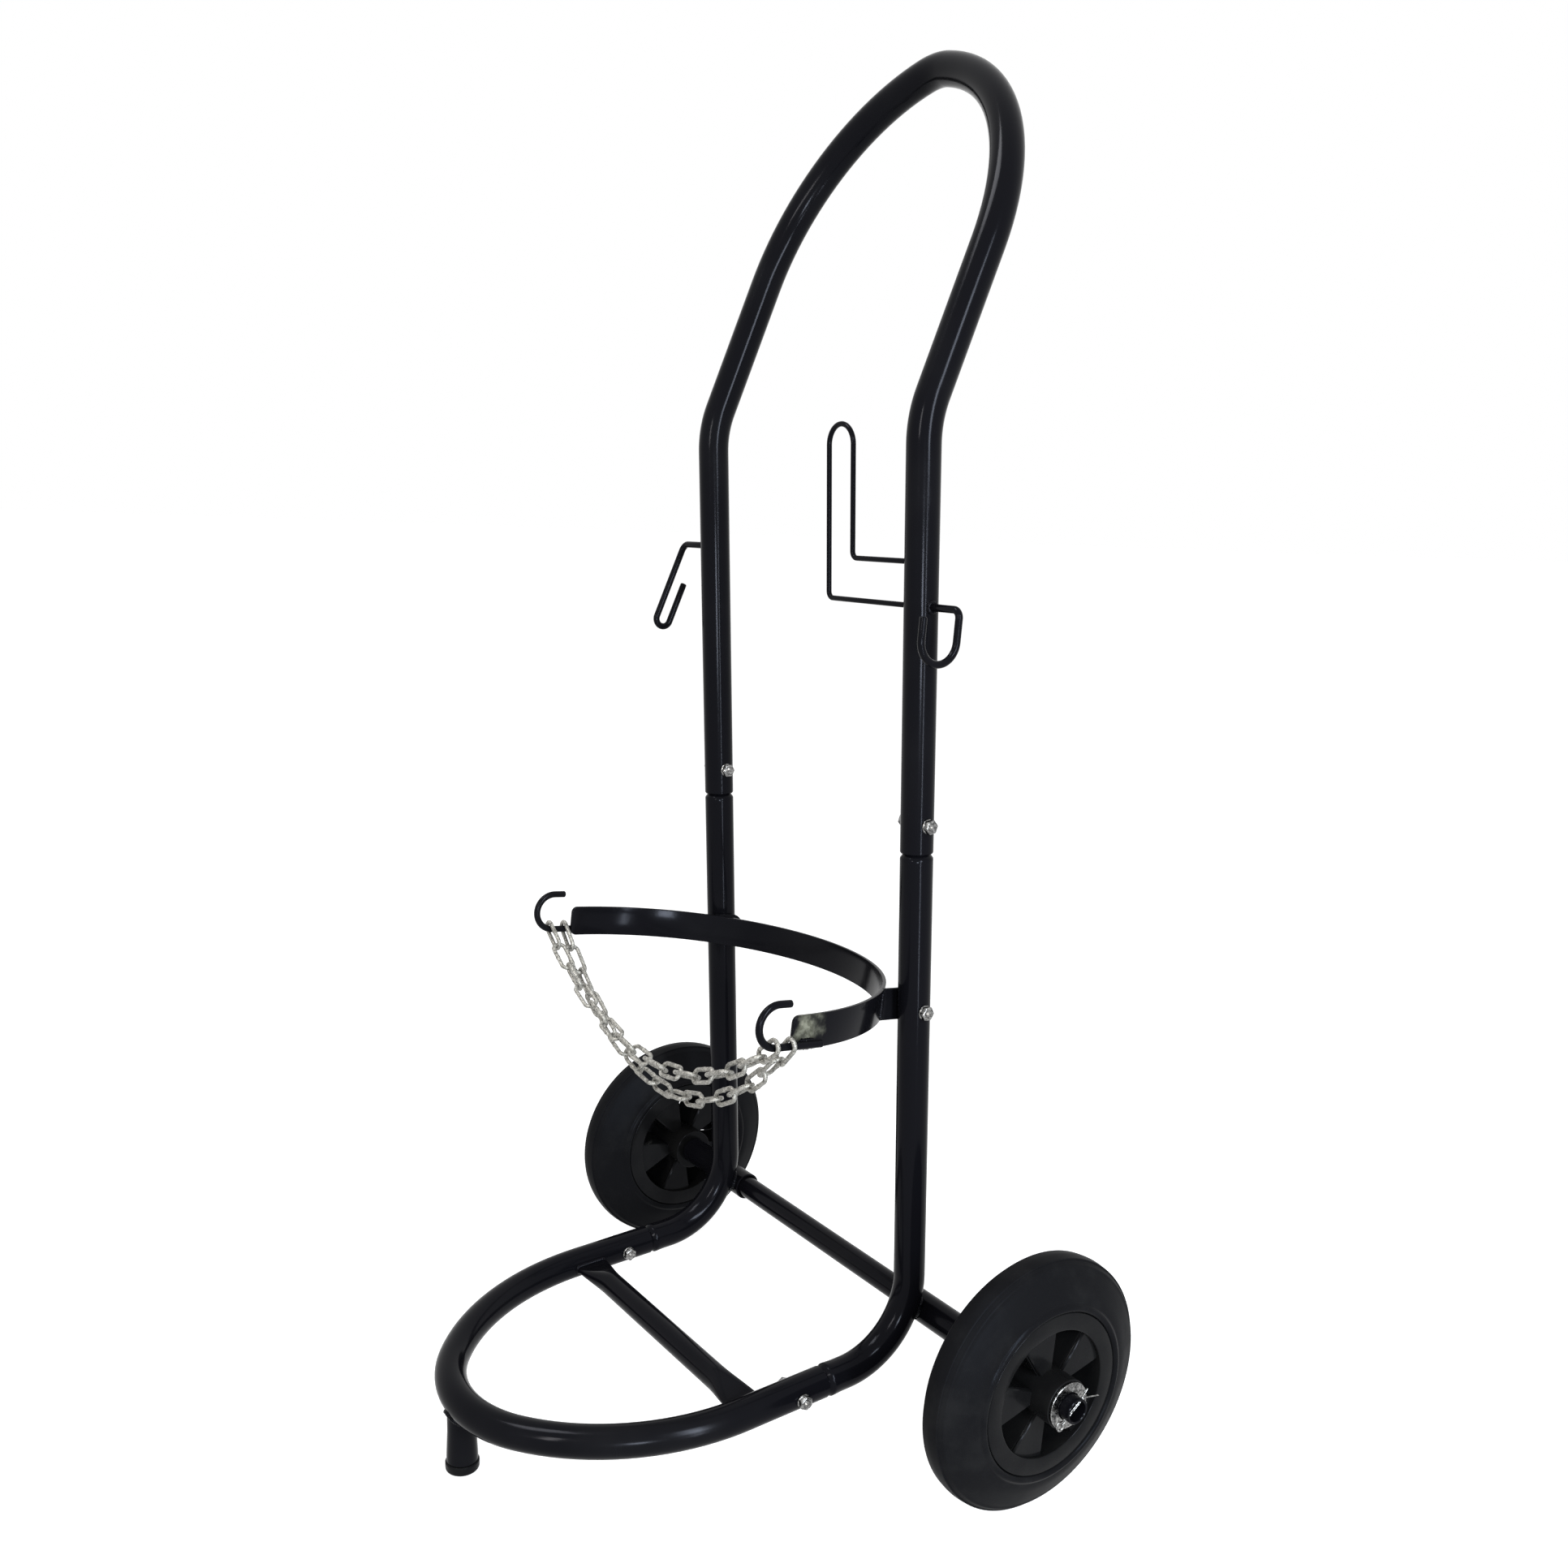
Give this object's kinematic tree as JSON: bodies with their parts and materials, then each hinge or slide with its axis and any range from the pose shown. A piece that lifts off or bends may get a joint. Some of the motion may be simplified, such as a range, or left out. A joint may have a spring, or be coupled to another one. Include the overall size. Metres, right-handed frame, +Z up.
{
  "type": "gas cylinder trolley",
  "caption": "Wheeled trolley of bent tube for a gas cylinder, with a base loop and front foot, a half-ring band with chain hooks and a chain, hose hooks and a torch holder.",
  "frame": {"origin": "on the floor, midway between the wheels and midway from the foot's front to the wheels' back", "axes": "+Z up, -Y towards the foot and the cylinder, +X to the right hand of someone who looks along +Y at the front"},
  "size_m": [0.6192, 0.4544, 1.0715],
  "materials": {
    "black_powder_coat": "gloss black powder coat",
    "tyre_rubber": "matt black rubber",
    "hub_plastic": "satin black moulded plastic",
    "cap_plastic": "satin black plug",
    "zinc_plated_steel": "bright zinc plate",
    "galvanised_chain": "dull galvanised"
  },
  "bodies": {
    "frame": {"handle_hoop": "black_powder_coat", "left_side_tube": "black_powder_coat", "right_side_tube": "black_powder_coat", "base_loop": "black_powder_coat", "base_cross_bar": "black_powder_coat", "front_foot": "black_powder_coat", "foot_cap": "cap_plastic", "axle": "black_powder_coat", "left_axle_sleeve": "black_powder_coat", "right_axle_sleeve": "black_powder_coat", "left_wheel_washer": "zinc_plated_steel", "right_wheel_washer": "zinc_plated_steel", "left_split_pin": "zinc_plated_steel", "right_split_pin": "zinc_plated_steel", "cylinder_band": "black_powder_coat", "left_band_bracket": "black_powder_coat", "right_band_bracket": "black_powder_coat", "left_chain_hook": "black_powder_coat", "right_chain_hook": "black_powder_coat", "left_hose_hook": "black_powder_coat", "right_hose_hook": "black_powder_coat", "torch_holder": "black_powder_coat", "left_upper_joint_bolt": "zinc_plated_steel", "left_upper_joint_nut": "zinc_plated_steel", "right_upper_joint_bolt": "zinc_plated_steel", "right_upper_joint_nut": "zinc_plated_steel", "left_base_joint_bolt": "zinc_plated_steel", "left_base_joint_nut": "zinc_plated_steel", "right_base_joint_bolt": "zinc_plated_steel", "right_base_joint_nut": "zinc_plated_steel", "left_band_bolt": "zinc_plated_steel", "left_band_nut": "zinc_plated_steel", "right_band_bolt": "zinc_plated_steel", "right_band_nut": "zinc_plated_steel"},
    "left_wheel": {"left_tyre": "tyre_rubber", "left_wheel_hub": "hub_plastic"},
    "right_wheel": {"right_tyre": "tyre_rubber", "right_wheel_hub": "hub_plastic"},
    "front_chain": {"front_chain_strand": "galvanised_chain"},
    "rear_chain": {"rear_chain_strand": "galvanised_chain"}
  },
  "joints": [
    {"name": "left_wheel_spin", "type": "hinge", "parent": "frame", "child": "left_wheel", "pos_m": [-0.2613, 0.12718, 0.1], "axis": [1, 0, 0], "continuous": true},
    {"name": "right_wheel_spin", "type": "hinge", "parent": "frame", "child": "right_wheel", "pos_m": [0.2613, 0.12718, 0.1], "axis": [1, 0, 0], "continuous": true},
    {"name": "front_chain_swing", "type": "hinge", "parent": "frame", "child": "front_chain", "pos_m": [0, -0.05371, 0.36724], "axis": [1, 0, 0], "range_deg": [-20, 8]},
    {"name": "rear_chain_swing", "type": "hinge", "parent": "frame", "child": "rear_chain", "pos_m": [0, -0.04079, 0.36577], "axis": [1, 0, 0], "range_deg": [-20, 8]}
  ],
  "couplings": [
    {"joint": "rear_chain_swing", "follows": "front_chain_swing", "ratio": 1}
  ]
}
